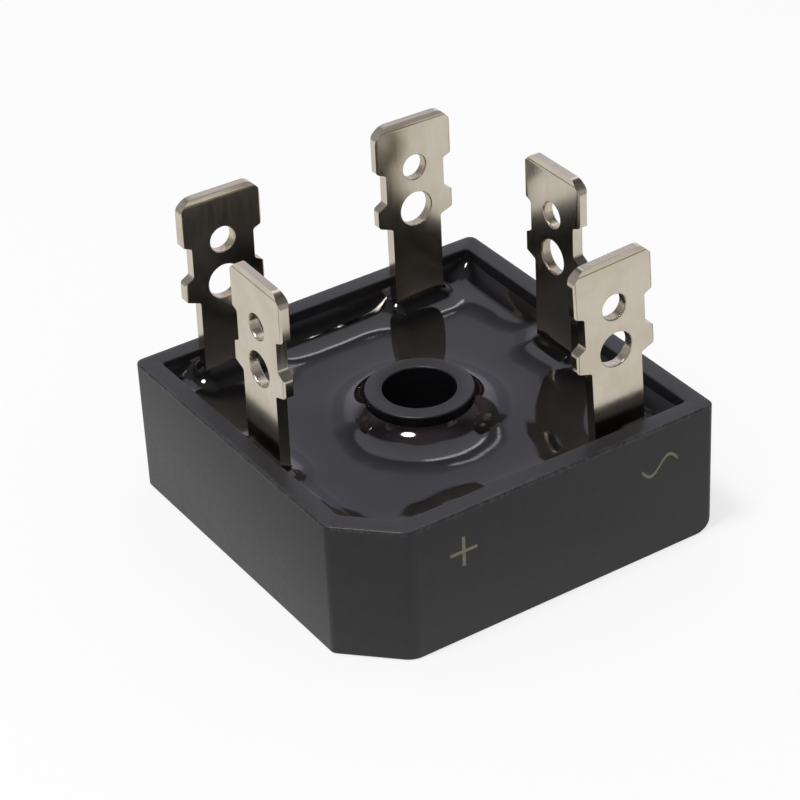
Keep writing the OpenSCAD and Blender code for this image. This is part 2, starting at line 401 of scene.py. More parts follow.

# %% [markdown]
# ### The screw hole
#
# The core pin of the mould leaves the hole duller than the outside, and little light gets
# in. Its black is painted deeper than the moulding's, as painted shade, and with a low
# gloss it stays dark from every side.

# %% Finish: inside of the screw hole
painted_shade_bore_finish, tree, shader, at = start("bore_painted_shade", IOR=1.46, Specular_IOR_Level=0.12)
texture = place_group(tree, grain, Coordinates=at, Scale=5.0, Coarse_Share=0.3)
# Painted shade: a black deeper than the moulding's, for the dim inside of the hole
black = blend_colour(tree, texture["Height"],
                     (0.003, 0.0022, 0.003, 1), (0.006, 0.0045, 0.006, 1))
feed(tree, shader.inputs["Base Color"], black)
feed(tree, shader.inputs["Roughness"], span(tree, texture["Height"], 0.3, 0.7, 0.5, 0.65))
bump(tree, shader, texture["Height"], 0.01)
print("finish:", painted_shade_bore_finish.name)

# %% [markdown]
# ### The resin
#
# The potting is a black epoxy that sets with a skin like poured glass. Its base colour is
# almost nothing; what one sees is reflection, so the roughness is low and the shape of
# the surface does the work. A faint long-range ripple and a little dust keep it real, and
# around the post a plum tone is painted into its colour, a painted reflection for the
# brownish zone on the steep skin there.

# %% Finish: cast resin
# The painted plum tone around the post, a painted reflection, fades out between these two radii
PAINTED_TINT_FULL, PAINTED_TINT_GONE = 4.7, 4.95

resin_finish, tree, shader, at = start("cast_resin", IOR=1.52)
film = place_group(tree, grain, Coordinates=at, Scale=2.2, Coarse_Share=0.6)
dust = place_group(tree, specks, Coordinates=at, Scale=1.5, Size=0.05, Share=0.12)
tone = blend_colour(tree, film["Patches"],
                    (0.0022, 0.002, 0.0024, 1), (0.004, 0.0036, 0.004, 1))
x, y, z = axes_of(tree, at)
near_post = span(tree, distance_from_axis(tree, x, y), PAINTED_TINT_GONE, PAINTED_TINT_FULL)
painted_plum_reflection = times(tree, near_post, span(tree, film["Height"], 0.3, 0.7, 0.5, 1.0))
# Painted reflection: a plum tone near the post, for the brownish zone that the steep skin shows
tone = blend_colour(tree, painted_plum_reflection, tone, (0.0125, 0.0075, 0.009, 1))
dusty = times(tree, dust["Mask"], 0.7)
tone = blend_colour(tree, dusty, tone, (0.09, 0.085, 0.08, 1))
feed(tree, shader.inputs["Base Color"], tone)
rough = span(tree, film["Height"], 0.3, 0.7, 0.035, 0.075)
rough = plus(tree, rough, times(tree, dust["Mask"], 0.4))
feed(tree, shader.inputs["Roughness"], rough)
bump(tree, shader, film["Height"], 0.003)
print("finish:", resin_finish.name)

# %% [markdown]
# ### The plating
#
# The blades are stamped from brass strip and nickel plated, which gives a warm silver.
# The faces show faint lines along the strip and a few pits. In the punched walls of the eyes
# the tool leaves bright and dull stripes through the thickness, and along the creases
# where a coined edge meets the face the nickel is darker and brownish. Both get a finish of
# their own.


# %% Finishes: nickel on the faces, in the eyes and along the creases
def nickel(name, tint, dull, low, high, scale, stretch, depth, pitted=0.6):
    """Nickel plate: tint and dull are its two tones, low and high its roughness."""
    made, tree, shader, at = start(name, Metallic=1.0)
    lines = place_group(tree, brushed, Coordinates=at, Scale=scale, Stretch=stretch)
    cloud = place_group(tree, grain, Coordinates=at, Scale=3.0, Coarse_Share=0.7)
    pits = place_group(tree, specks, Coordinates=at, Scale=1.7, Size=0.09, Share=0.1)
    tone = blend_colour(tree, cloud["Patches"], tint, dull)
    tone = blend_colour(tree, span(tree, lines["Height"], 0.42, 0.75, 0.0, 0.35), tone, dull)
    in_pit = times(tree, pits["Mask"], pitted)
    tone = blend_colour(tree, in_pit, tone, (0.12, 0.1, 0.07, 1))
    feed(tree, shader.inputs["Base Color"], tone)
    feed(tree, shader.inputs["Roughness"], span(tree, lines["Height"], 0.3, 0.7, low, high))
    bump(tree, shader, lines["Height"], depth)
    return made


plate_finish = nickel("nickel_plate", (0.66, 0.6, 0.5, 1), (0.6, 0.535, 0.43, 1),
                      0.15, 0.2, scale=5.0, stretch=0.08, depth=0.0008, pitted=0.35)
cut_finish = nickel("nickel_cut_edge", (0.7, 0.62, 0.5, 1), (0.5, 0.43, 0.33, 1),
                    0.2, 0.38, scale=4.0, stretch=1.0, depth=0.02, pitted=0.0)
crease_finish = nickel("nickel_crease", (0.42, 0.33, 0.22, 1), (0.3, 0.23, 0.14, 1),
                       0.25, 0.4, scale=5.0, stretch=0.3, depth=0.003, pitted=0.0)
print("finishes:", plate_finish.name, cut_finish.name, crease_finish.name)


# %% [markdown]
# ### The buried parts
#
# The base plate is mill-finished aluminium. The insulator, the copper and the chips lie
# inside the resin and show only when the part is taken apart, so their solids stay and
# get plain but honest finishes.


# %% Finishes: base plate, ceramic, copper and silicon
def quiet(name, light, dark, metallic, low, high, scale, depth):
    """A quiet finish: two tones of one colour, a grain and a spread of roughness."""
    made, tree, shader, at = start(name, Metallic=metallic)
    texture = place_group(tree, grain, Coordinates=at, Scale=scale, Coarse_Share=0.4)
    feed(tree, shader.inputs["Base Color"], blend_colour(tree, texture["Patches"], light, dark))
    feed(tree, shader.inputs["Roughness"], span(tree, texture["Height"], 0.3, 0.7, low, high))
    bump(tree, shader, texture["Height"], depth)
    return made


# The plate is metal with a grain of its own, so the plating's recipe serves it too
aluminium_finish = nickel("milled_aluminium", (0.78, 0.79, 0.8, 1), (0.66, 0.67, 0.69, 1),
                          0.28, 0.42, scale=6.0, stretch=1.0, depth=0.006)
ceramic_finish = quiet("white_ceramic", (0.82, 0.81, 0.77, 1), (0.76, 0.75, 0.71, 1),
                       0.0, 0.45, 0.6, scale=8.0, depth=0.006)
copper_finish = quiet("tinned_copper", (0.86, 0.5, 0.34, 1), (0.72, 0.38, 0.24, 1),
                      1.0, 0.25, 0.4, scale=5.0, depth=0.004)
silicon_finish = quiet("silicon_chip", (0.3, 0.32, 0.36, 1), (0.22, 0.23, 0.27, 1),
                       0.6, 0.18, 0.3, scale=3.0, depth=0.002)
buried = (aluminium_finish, ceramic_finish, copper_finish, silicon_finish)
print("finishes:", [finish.name for finish in buried])

# %% Give the buried solids their finishes
inner = {
    "insulator": ceramic_finish,
    "bus_plus": copper_finish, "bus_minus": copper_finish,
    "link_ac_1": copper_finish, "link_ac_2": copper_finish, "link_ac_3": copper_finish,
}
inner.update({f"diode_{i}": silicon_finish for i in range(1, 7)})
for name, finish in inner.items():
    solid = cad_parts[name]
    for slot in solid.material_slots:
        slot.material = finish
print("buried solids dressed:", len(inner))

# %% [markdown]
# ## Mesh helpers
#
# Every piece is built with bmesh operators and then handed over by one function, which
# gives it its material, shades it smooth up to a chosen angle and lets it ride on the
# frame. All sizes below are in millimetres, so the last step scales the mesh to metres.
# The object itself stays at the origin, unturned and unscaled.


# %% Helpers for meshes
def finish_piece(bm, name, materials, node, smooth=32):
    """Turns a bmesh in millimetres into a piece that stands for a CAD node."""
    bmesh.ops.scale(bm, vec=(MM, MM, MM), verts=bm.verts)
    mesh = bpy.data.meshes.new(name)
    bm.to_mesh(mesh)
    bm.free()
    for material in materials:
        mesh.materials.append(material)
    mesh.shade_smooth()
    mesh.set_sharp_from_angle(angle=math.radians(smooth))
    piece = bpy.data.objects.new(name, mesh)
    scene.collection.objects.link(piece)
    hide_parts(node)
    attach(piece, "root")
    print(name, "faces:", len(mesh.polygons))


def size_of(node):
    """Lowest and highest corner of a CAD node, in millimetres."""
    lo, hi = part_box(node)
    return Vector(lo) / MM, Vector(hi) / MM


def round_edges(bm, edges, radius, segments):
    """Rounds some edges."""
    bmesh.ops.bevel(bm, geom=list(edges), offset=radius, segments=segments, profile=0.5,
                    affect="EDGES", material=-1, clamp_overlap=True)


def push(bm, faces, way, open_base=False):
    """Extrudes faces and moves the new ones; open_base takes the old ones away."""
    made = bmesh.ops.extrude_face_region(bm, geom=faces)["geom"]
    if open_base:
        bmesh.ops.delete(bm, geom=faces, context="FACES_ONLY")
    verts = [v for v in made if isinstance(v, bmesh.types.BMVert)]
    bmesh.ops.translate(bm, vec=way, verts=verts)
    return [f for f in made if isinstance(f, bmesh.types.BMFace)], verts


def block(outline, low, high):
    """A bmesh with one upright block on a closed outline of points."""
    made = bmesh.new()
    base = made.faces.new([made.verts.new((px, py, low)) for px, py in outline])
    push(made, [base], (0, 0, high - low))
    bmesh.ops.recalc_face_normals(made, faces=made.faces)
    return made


# %% [markdown]
# ## The plan of the case
#
# Case, base plate and resin share one plan: a square with its front left corner cut off.
# The sizes come from the solids' boxes, and the cut keeps the wall equally thick.

# %% Plan of the case
_, case_hi = size_of("housing")
plate_lo, plate_hi = size_of("base_plate")
resin_lo, resin_hi = size_of("potting")
HALF_OUT = case_hi.x
HALF_IN = resin_hi.x
HALF_PLATE = plate_hi.x


def plan(half):
    """Corner points of the plan at a half width, anticlockwise."""
    cut = CUT - (HALF_OUT - half) * (2 - math.sqrt(2))
    return [(-half + cut, -half), (half, -half), (half, half), (-half, half),
            (-half, -half + cut)]


print("half widths in mm:", round(HALF_OUT, 3), round(HALF_IN, 3), round(HALF_PLATE, 3))

# %% [markdown]
# ## The case
#
# The real case is one moulding: a wall all round, open below for the base plate, and the
# post in the middle. It could be cut from a block with booleans, but a wall made by
# insetting and extruding the plan keeps clean edges that take a bevel. The upright edges
# get the mould's 0.6 mm radius, the one where the cut corner meets the left side is
# crisper, and the rim gets a much smaller one. The lower edge of the right side is rounded
# far more. The strip of underside beside it is too narrow for such a bevel, so that edge is
# sliced along a quarter of a circle instead. The post is a lathe form, so it is spun from
# its section.

# %% Cutting with planes
LOWER_ROUND = 1.7
SLICES = 5


def slice_off(bm, point, normal):
    """Cuts away what lies on the normal's side of a plane, and closes the cut."""
    bmesh.ops.bisect_plane(bm, geom=bm.verts[:] + bm.edges[:] + bm.faces[:], dist=1e-5,
                           plane_co=point, plane_no=normal, clear_outer=True)
    edges = [e for e in bm.edges if e.is_boundary]
    bmesh.ops.holes_fill(bm, edges=edges, sides=0)


def round_lower_right(bm):
    """Rounds the lower edge of the right side with slices along a quarter of a circle."""
    middle = Vector((HALF_OUT - LOWER_ROUND, 0, LOWER_ROUND))
    for i in range(SLICES):
        turn = math.radians(90 * (i + 0.5) / SLICES)
        way = Vector((math.cos(turn), 0, -math.sin(turn)))
        slice_off(bm, middle + way * LOWER_ROUND, way)


# %% Build the case
WALL_EDGE = 0.6
CRISP_EDGE = 0.25
WELL_EDGE = 0.22
RIM_EDGE = 0.12
FOOT_EDGE = 0.1
SEAT_GAP = 0.1

bm = block(plan(HALF_OUT), 0.0, case_hi.z)
top = max(bm.faces, key=lambda f: f.calc_center_median().z if f.normal.z > 0.9 else -1)
bmesh.ops.inset_region(bm, faces=[top], thickness=HALF_OUT - HALF_IN, use_even_offset=True)
well, _ = push(bm, [top], (0, 0, plate_hi.z - case_hi.z), open_base=True)

bottom = min(bm.faces, key=lambda f: f.calc_center_median().z if f.normal.z < -0.9 else 99)
bmesh.ops.inset_region(bm, faces=[bottom], thickness=HALF_OUT - HALF_PLATE - SEAT_GAP,
                       use_even_offset=True)
seat, _ = push(bm, [bottom], (0, 0, plate_hi.z), open_base=True)
bmesh.ops.inset_region(bm, faces=seat, thickness=HALF_PLATE + SEAT_GAP - HALF_IN,
                       use_even_offset=True)
bmesh.ops.delete(bm, geom=seat + well, context="FACES")
bmesh.ops.remove_doubles(bm, verts=bm.verts, dist=1e-4)
bmesh.ops.recalc_face_normals(bm, faces=bm.faces)
print("case wall faces before its edges are rounded:", len(bm.faces))


# %% Round the case's edges
def upright(edge, half):
    """True for an upright edge on the corner of the plan at a half width."""
    a, b = edge.verts
    at_corner = any((a.co.xy - Vector(p)).length < 1e-3 for p in plan(half))
    return abs(a.co.z - b.co.z) > 1.5 and at_corner


def border_at(bm, level):
    """Edges that lie at a level, between a flat face and an upright one."""
    return [e for e in bm.edges if all(abs(v.co.z - level) < 1e-4 for v in e.verts)
            and len(e.link_faces) == 2 and any(abs(f.normal.z) < 0.5 for f in e.link_faces)]


edges = [e for e in bm.edges if upright(e, HALF_OUT)]
crisp = [e for e in edges if e.verts[0].co.x < 0 and -HALF_OUT + 1 < e.verts[0].co.y < 0]
round_edges(bm, [e for e in edges if e not in crisp], WALL_EDGE, 6)
round_edges(bm, crisp, CRISP_EDGE, 4)
round_edges(bm, [e for e in bm.edges if upright(e, HALF_IN)], WELL_EDGE, 6)
round_edges(bm, border_at(bm, case_hi.z), RIM_EDGE, 3)
round_edges(bm, border_at(bm, 0.0), FOOT_EDGE, 2)
round_lower_right(bm)
print("case wall faces:", len(bm.faces))

# %% Spin the post
POST_R = 3.8
POST_TOP = case_hi.z - 0.4
POST_EDGE = 0.14
BORE_R = 2.55

section = [(BORE_R, plate_hi.z), (BORE_R, POST_TOP), (POST_R, POST_TOP),
           (POST_R, plate_hi.z)]
ring = [bm.verts.new((r, 0, h)) for r, h in section]
for a, b in zip(ring, ring[1:] + ring[:1]):
    bm.edges.new((a, b))
corners = [v for v in ring if abs(v.co.z - POST_TOP) < 1e-6]
bmesh.ops.bevel(bm, geom=corners, offset=POST_EDGE, segments=3, profile=0.5,
                affect="VERTICES", material=-1)
profile = [v for v in bm.verts
           if abs(v.co.y) < 1e-9 and BORE_R - 1e-4 <= v.co.x <= POST_R + 1e-4]
profile_edges = [e for e in bm.edges if all(v in profile for v in e.verts)]
bmesh.ops.spin(bm, geom=profile + profile_edges, cent=(0, 0, 0), axis=(0, 0, 1),
               angle=2 * math.pi, steps=96, use_merge=True)
bmesh.ops.remove_doubles(bm, verts=bm.verts, dist=1e-4)
bmesh.ops.recalc_face_normals(bm, faces=bm.faces)
for face in bm.faces:
    if all(abs(v.co.xy.length - BORE_R) < 0.01 for v in face.verts):
        face.material_index = 1
finish_piece(bm, "moulded_case", [case_finish, painted_shade_bore_finish], "housing")

# %% [markdown]
# ## The base plate
#
# A slab of aluminium lies flush in the underside with the screw hole in its middle. The
# plan is extruded and its edges broken; the hole is a boolean with a spun cutter whose
# ends flare, so that the hole gets its small countersink in the same cut.


# %% Cut with a flared pin
def cutter(radius, half_length, flare):
    """A closed pin along Z that widens in two steps over its last stretch, as a bmesh."""
    upper = [(radius, half_length - 1.7 * flare),
             (radius + 0.3 * flare, half_length - 0.7 * flare),
             (radius + flare, half_length), (radius + flare + 1, half_length + 1),
             (0, half_length + 1)]
    outline = [(r, -h) for r, h in reversed(upper)] + upper
    made = bmesh.new()
    verts = [made.verts.new((r, 0, h)) for r, h in outline]
    edges = [made.edges.new(pair) for pair in zip(verts, verts[1:])]
    bmesh.ops.spin(made, geom=verts + edges, cent=(0, 0, 0), axis=(0, 0, 1),
                   angle=2 * math.pi, steps=48, use_merge=True)
    bmesh.ops.remove_doubles(made, verts=made.verts, dist=1e-5)
    bmesh.ops.recalc_face_normals(made, faces=made.faces)
    return made


def drill(bm, cutters, wall_index):
    """Cuts pins out of a bmesh; the walls of the cuts take the material at wall_index."""
    body = bpy.data.meshes.new("stock")
    bm.to_mesh(body)
    bm.free()
    stock = bpy.data.objects.new("stock", body)
    scene.collection.objects.link(stock)
    pins = []
    for made in cutters:
        for face in made.faces:
            face.material_index = wall_index
        mesh = bpy.data.meshes.new("pin")
        made.to_mesh(mesh)
        made.free()
        pin = bpy.data.objects.new("pin", mesh)
        scene.collection.objects.link(pin)
        for _ in range(wall_index + 1):
            mesh.materials.append(None)
        pins.append(pin)
        cut = stock.modifiers.new("cut", "BOOLEAN")
        cut.operation, cut.solver, cut.object = "DIFFERENCE", "EXACT", pin
    for _ in range(wall_index + 1):
        body.materials.append(None)
    result = bmesh.new()
    result.from_mesh(stock.evaluated_get(bpy.context.evaluated_depsgraph_get()).to_mesh())
    for used in [stock, *pins]:
        mesh = used.data
        bpy.data.objects.remove(used)
        bpy.data.meshes.remove(mesh)
    return result


# %% Build the base plate
PLATE_EDGE = 0.12
COUNTERSINK = 0.15


def rise_of(edge):
    """How much an edge rises from one end to the other."""
    return abs(edge.verts[0].co.z - edge.verts[1].co.z)


bm = block(plan(HALF_PLATE), plate_lo.z, plate_hi.z)
round_edges(bm, [e for e in bm.edges if rise_of(e) > 1], WALL_EDGE, 5)
round_edges(bm, [e for e in bm.edges if rise_of(e) < 1e-5], PLATE_EDGE, 2)
round_lower_right(bm)
hole = cutter(BORE_R, (plate_hi.z - plate_lo.z) / 2, COUNTERSINK)
bmesh.ops.translate(hole, vec=(0, 0, (plate_lo.z + plate_hi.z) / 2), verts=hole.verts)
bm = drill(bm, [hole], 0)
finish_piece(bm, "heat_plate", [aluminium_finish], "base_plate")

# %% [markdown]
# ## The resin's surface
#
# Poured epoxy wets everything that it touches: it stands low in the open and climbs at
# the wall, at the post and at each blade. Each climb dies out over about a millimetre.
# The surface is a fine grid whose height is a sum of such climbs, and the rest of the
# block is the grid's border pulled down and closed. The rules that shape it are short:
#
# * how far a point is from each wall, from the post and from each blade's foot;
# * one climb per neighbour, joined so that a corner climbs further than a wall, up to a
#   limit that keeps the resin below the rim;
# * a slow ripple, as the resin shrinks while it sets.


# %% Where the blades stand, measured on the frame
def slab_of(node, low, high):
    """Box of a CAD node's points between two levels, in millimetres."""
    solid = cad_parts[node].data
    points = [v.co / MM for v in solid.vertices if low <= v.co.z / MM <= high]
    lo = Vector([min(p[i] for p in points) for i in range(3)])
    hi = Vector([max(p[i] for p in points) for i in range(3)])
    return lo, hi


TERMINALS = ["terminal_plus", "terminal_minus", "terminal_ac_1", "terminal_ac_2",
             "terminal_ac_3"]
# Half the stem's width, the strip's thickness, and the level from which a blade leans
STEM_HALF = 2.03
STRIP = 0.8
KNEE = 6.2
# A blade's place is read from this much of its foot, and its lean from this much of its tip
FOOT_BAND, TIP_BAND = 0.9, 0.32
feet = {}
for name in TERMINALS:
    lo, hi = size_of(name)
    along_y = name in ("terminal_plus", "terminal_minus")
    foot_lo, foot_hi = slab_of(name, lo.z - 0.01, lo.z + FOOT_BAND)
    tip_lo, tip_hi = slab_of(name, hi.z - TIP_BAND, hi.z + 0.01)
    axis = 1 if along_y else 0
    middle = (foot_lo[axis] + foot_hi[axis]) / 2
    tip = (tip_lo[axis] + tip_hi[axis]) / 2
    # The strip stands at the outer end of the foot
    across = 0 if along_y else 1
    outward = 1 if (lo[across] + hi[across]) > 0 else -1
    plane = (hi[across] if outward > 0 else lo[across]) - outward * STRIP / 2
    feet[name] = {"along_y": along_y, "outward": outward, "plane": plane, "middle": middle,
                  "foot_z": lo.z, "lean": math.atan2(tip - middle, hi.z - KNEE)}
    print(name, "stands at", round(middle, 2), "on the plane", round(plane, 2))

# %% Height of the resin
FIELD = 7.9
REACH = 1.05
POST_CLIMB = 1.07
# The climb goes on this far inside what it touches, so that the skin stays steep up to
# the contact
UNDER = 0.35
# Climb and reach at the walls in the order of the plan: front, right, back, left, cut
WALL_CLIMB = [(1.0, 1.25), (1.3, 1.15), (1.45, 1.08), (1.0, 1.3), (0.45, 0.8)]
# How sharply two climbs join, the most that they reach, and how abruptly that is met
JOIN = 1.6
LIMIT = 2.14
BRAKE = 6
# Climb and reach at each blade
BLADE_CLIMB = {
    "terminal_plus": (0.6, 1.2), "terminal_minus": (0.65, 1.1), "terminal_ac_1": (1.4, 1.0),
    "terminal_ac_2": (0.7, 0.9), "terminal_ac_3": (0.35, 0.5),
}


def wall_gaps(px, py):
    """Distances to the five inner walls."""
    corners = plan(HALF_IN)
    gaps = []
    for a, b in zip(corners, corners[1:] + corners[:1]):
        side = Vector((b[0] - a[0], b[1] - a[1])).normalized()
        gaps.append(side.x * (py - a[1]) - side.y * (px - a[0]))
    return gaps


def blade_gap(px, py, foot):
    """Distance to the rectangle where a blade enters the resin, -UNDER well inside it."""
    a, b = (py, px) if foot["along_y"] else (px, py)
    da = abs(a - foot["middle"]) - STEM_HALF + UNDER
    db = abs(b - foot["plane"]) - STRIP / 2 + UNDER
    return math.hypot(max(da, 0.0), max(db, 0.0)) - UNDER


def resin_height(px, py):
    """Height of the resin's skin over a point of the plan."""
    climbs = [climb * math.exp(-max(gap, 0.0) / reach)
              for (climb, reach), gap in zip(WALL_CLIMB, wall_gaps(px, py))]
    radius = math.hypot(px, py)
    climbs.append(POST_CLIMB * math.exp(-max(radius - POST_R, -UNDER) / REACH))
    for name, foot in feet.items():
        climb, reach = BLADE_CLIMB[name]
        climbs.append(climb * math.exp(-blade_gap(px, py, foot) / reach))
    total = sum(c ** JOIN for c in climbs) ** (1 / JOIN)
    if total > 0.1:
        total = LIMIT * math.tanh((total / LIMIT) ** BRAKE) ** (1 / BRAKE)
    ripple = (noise.noise(Vector((px * 0.22, py * 0.22, 3.1))) * 0.02
              + noise.noise(Vector((px * 0.6, py * 0.6, 9.4))) * 0.004)
    return FIELD + total + ripple


print("resin level at the right wall, in the open and at the post:",
      [round(resin_height(px, 0.0), 2) for px in (HALF_IN, 8.0, POST_R)])

# %% Build the resin
STEP = 0.13
count = int(2 * HALF_IN / STEP)
bm = bmesh.new()
bmesh.ops.create_grid(bm, x_segments=count, y_segments=count, size=HALF_IN)
a, b = Vector(plan(HALF_IN)[4]), Vector(plan(HALF_IN)[0])
cut_dir = (b - a).normalized()
bmesh.ops.bisect_plane(bm, geom=bm.verts[:] + bm.edges[:] + bm.faces[:],
                       plane_co=(a.x, a.y, 0), plane_no=(cut_dir.y, -cut_dir.x, 0))
centres = {f: f.calc_center_median() for f in bm.faces}
gone = [f for f, c in centres.items()
        if c.x + c.y < (a.x + a.y) - 1e-6 or c.xy.length < (BORE_R + POST_R) / 2]
bmesh.ops.delete(bm, geom=gone, context="FACES")
for v in bm.verts:
    v.co.z = resin_height(v.co.x, v.co.y)
border = [e for e in bm.edges if e.is_boundary]
dropped = bmesh.ops.extrude_edge_only(bm, edges=border)
low_verts = [v for v in dropped["geom"] if isinstance(v, bmesh.types.BMVert)]
low_edges = [e for e in dropped["geom"] if isinstance(e, bmesh.types.BMEdge)]
for v in low_verts:
    v.co.z = resin_lo.z
bmesh.ops.triangle_fill(bm, edges=low_edges, use_beauty=False, use_dissolve=False)
bmesh.ops.recalc_face_normals(bm, faces=bm.faces)
finish_piece(bm, "poured_resin", [resin_finish], "potting", smooth=60)

# %% [markdown]
# ## The blades
#
# A blade is stamped flat, coined along its edges so that it enters a receptacle easily,
# pierced twice and bent into an L whose foot is soldered to the circuit. The mesh is made
# in the same order:
#
# 1. half the outline as a few points, mirrored, filled and extruded to the thickness;
# 2. the corners rounded as the punch leaves them;
# 3. the coined edges cut with slanted planes and closed, and their creases narrowly
#    bevelled, so that each crease shows as a fine line;
# 4. the two eyes drilled with flared pins, which gives the rolled-over rims;
# 5. the blade leaned above the resin, as no hand-fitted blade stands quite true;
# 6. the lower end pulled down, spun through the bend and pulled out to the foot;
# 7. the whole turned and moved to its place.

# %% Outline of a blade
BLADE_HALF = 3.125
NECK_HALF = 2.42
COIN_IN, COIN_DEEP = 0.13, 0.12
TIP_COIN = 0.4
CREASE = 0.05
TIP_CORNER_R, EAR_CORNER_R = 0.32, 0.14
TIP = 22.8
BEND_R = 0.5
FOOT_LEN = 3.6
# Each eye: how far it lies below the tip, its radius, and the roll of its rim
EYES = [(3.71, 0.93), (6.97, 1.26)]
EYE_ROLL = 0.07

blade_side = [
    (STEM_HALF, KNEE), (STEM_HALF, TIP - 8.05), (BLADE_HALF, TIP - 7.65),
    (BLADE_HALF, TIP - 6.35), (NECK_HALF, TIP - 5.95), (NECK_HALF, TIP - 3.7),
    (BLADE_HALF, TIP - 3.4), (BLADE_HALF, TIP - 0.8), (BLADE_HALF - 0.8, TIP),
]
print("points on half the outline:", len(blade_side))


# %% Stamp, coin and drill
def stamp_blade():
    """A straight blade, its width along X, its thickness along Y and its tip up."""
    bm = bmesh.new()
    points = blade_side + [(-px, pz) for px, pz in reversed(blade_side)]
    sheet = bm.faces.new([bm.verts.new((px, -STRIP / 2, pz)) for px, pz in points])
    push(bm, [sheet], (0, STRIP, 0))
    bmesh.ops.recalc_face_normals(bm, faces=bm.faces)
    through = [e for e in bm.edges if abs(e.verts[0].co.y - e.verts[1].co.y) > 0.5]
    for edge in [e for e in through if e.verts[0].co.z > KNEE + 0.1]:
        if not edge.is_valid:
            continue
        at_tip = edge.verts[0].co.z > TIP - 1.0
        radius, segments = (TIP_CORNER_R, 6) if at_tip else (EAR_CORNER_R, 5)
        round_edges(bm, [edge], radius, segments)
    for side in (-1, 1):
        start_y = side * (STRIP / 2 - COIN_DEEP)
        slice_off(bm, (0, start_y, TIP), Vector((0, side * TIP_COIN, COIN_DEEP)).normalized())
        for way in (-1, 1):
            slice_off(bm, (way * BLADE_HALF, start_y, 0),
                      Vector((way * COIN_DEEP, side * COIN_IN, 0)).normalized())
    bmesh.ops.recalc_face_normals(bm, faces=bm.faces)
    # A crease lies between a flat face and a coined one, which is slanted but not upright
    creases = []
    for edge in (e for e in bm.edges if len(e.link_faces) == 2):
        steeper, flatter = sorted(abs(f.normal.y) for f in edge.link_faces)
        if flatter > 0.9999 and 0.98 > steeper > 0.5:
            creases.append(edge)
    bmesh.ops.bevel(bm, geom=creases, offset=CREASE, segments=1, profile=0.5,
                    affect="EDGES", material=1)
    return bm


def pierce(bm):
    """Drills the two eyes."""
    pins = []
    for down, radius in EYES:
        pin = cutter(radius, STRIP / 2, EYE_ROLL)
        bmesh.ops.rotate(pin, cent=(0, 0, 0), matrix=Matrix.Rotation(math.pi / 2, 3, "X"),
                         verts=pin.verts)
        bmesh.ops.translate(pin, vec=(0, 0, TIP - down), verts=pin.verts)
        pins.append(pin)
    return drill(bm, pins, 2)


print("eyes in each blade:", len(EYES))


# %% Lean, bend and place
# One blade is knocked a little askew: outwards in degrees, and sideways in radians
LEAN_OUT = {"terminal_ac_2": 1.8}
feet["terminal_ac_2"]["lean"] += 0.012
# How far a blade turns about Z, by the axis that its width runs along and its outward side
TURN = {("x", 1): 0.0, ("x", -1): math.pi,
        ("y", 1): -math.pi / 2, ("y", -1): math.pi / 2}


def about_knee(angle, axis):
    """A turn about the level from which the blades lean."""
    up = Matrix.Translation((0, 0, KNEE))
    return up @ Matrix.Rotation(angle, 4, axis) @ Matrix.Translation((0, 0, -KNEE))


def lean_blade(bm, name, sideways):
    """Leans everything above the knee, and returns the points that stay there."""
    ground = [v for v in bm.verts if abs(v.co.z - KNEE) < 1e-4]
    outwards = about_knee(-math.radians(LEAN_OUT.get(name, 0.0)), "X")
    bmesh.ops.transform(bm, matrix=outwards @ about_knee(sideways, "Y"),
                        verts=[v for v in bm.verts if v not in ground])
    return ground


def bend_foot(bm, ground, foot_z):
    """Pulls the stem down, bends it through a right angle and pulls out the foot."""
    outer = BEND_R + STRIP
    bottom = [f for f in bm.faces if all(v in ground for v in f.verts)]
    end, verts = push(bm, bottom, (0, 0, foot_z + outer - KNEE), open_base=True)
    bent = bmesh.ops.spin(bm, geom=end + [e for f in end for e in f.edges] + verts,
                          cent=(0, STRIP / 2 - outer, foot_z + outer), axis=(1, 0, 0),
                          angle=-math.pi / 2, steps=8, use_merge=False, use_duplicate=False)
    last = [g for g in bent["geom_last"] if isinstance(g, bmesh.types.BMFace)]
    push(bm, last, (0, outer - FOOT_LEN, 0), open_base=True)
    bmesh.ops.remove_doubles(bm, verts=bm.verts, dist=1e-4)


def build_terminal(name):
    """One terminal from its measured foot, replacing its CAD node."""
    foot = feet[name]
    along, outward = ("y" if foot["along_y"] else "x"), foot["outward"]
    bm = pierce(stamp_blade())
    # The lean was measured on the frame's axis; a turned blade sees it with the other sign
    flipped = (along, outward) in (("y", 1), ("x", -1))
    ground = lean_blade(bm, name, -foot["lean"] if flipped else foot["lean"])
    bend_foot(bm, ground, foot["foot_z"])
    centre = (foot["middle"], foot["plane"], 0)
    if foot["along_y"]:
        centre = (foot["plane"], foot["middle"], 0)
    turn = Matrix.Rotation(TURN[(along, outward)], 4, "Z")
    bmesh.ops.transform(bm, matrix=Matrix.Translation(centre) @ turn, verts=bm.verts)
    bmesh.ops.recalc_face_normals(bm, faces=bm.faces)
    finish_piece(bm, name.replace("terminal", "blade"),
                 [plate_finish, crease_finish, cut_finish], name, smooth=14)


for name in TERMINALS:
    build_terminal(name)

# %% [markdown]
# ## Floor, surroundings and lamps
#
# The part stands on white, in a bright tent. The floor is white for the camera and for
# reflections, and mixes in a plain diffuse surface so that the soft shadow under the case
# stays. What the glossy resin and the blades show is the tent itself. Behind the part it
# is bright up to 36 degrees, then comes a darker band, a soft box from 44 to 71 degrees
# and a dim ceiling. Towards the viewer the tent is much dimmer. The lamp overhead gives
# the small hard glints. Two thin tubes, one in the dark band and one at the lower edge of
# the soft box, give the fine lines on the resin beside the back wall.

# %% Floor
FLOOR_R = 0.9
FLOOR_WHITE = 0.88
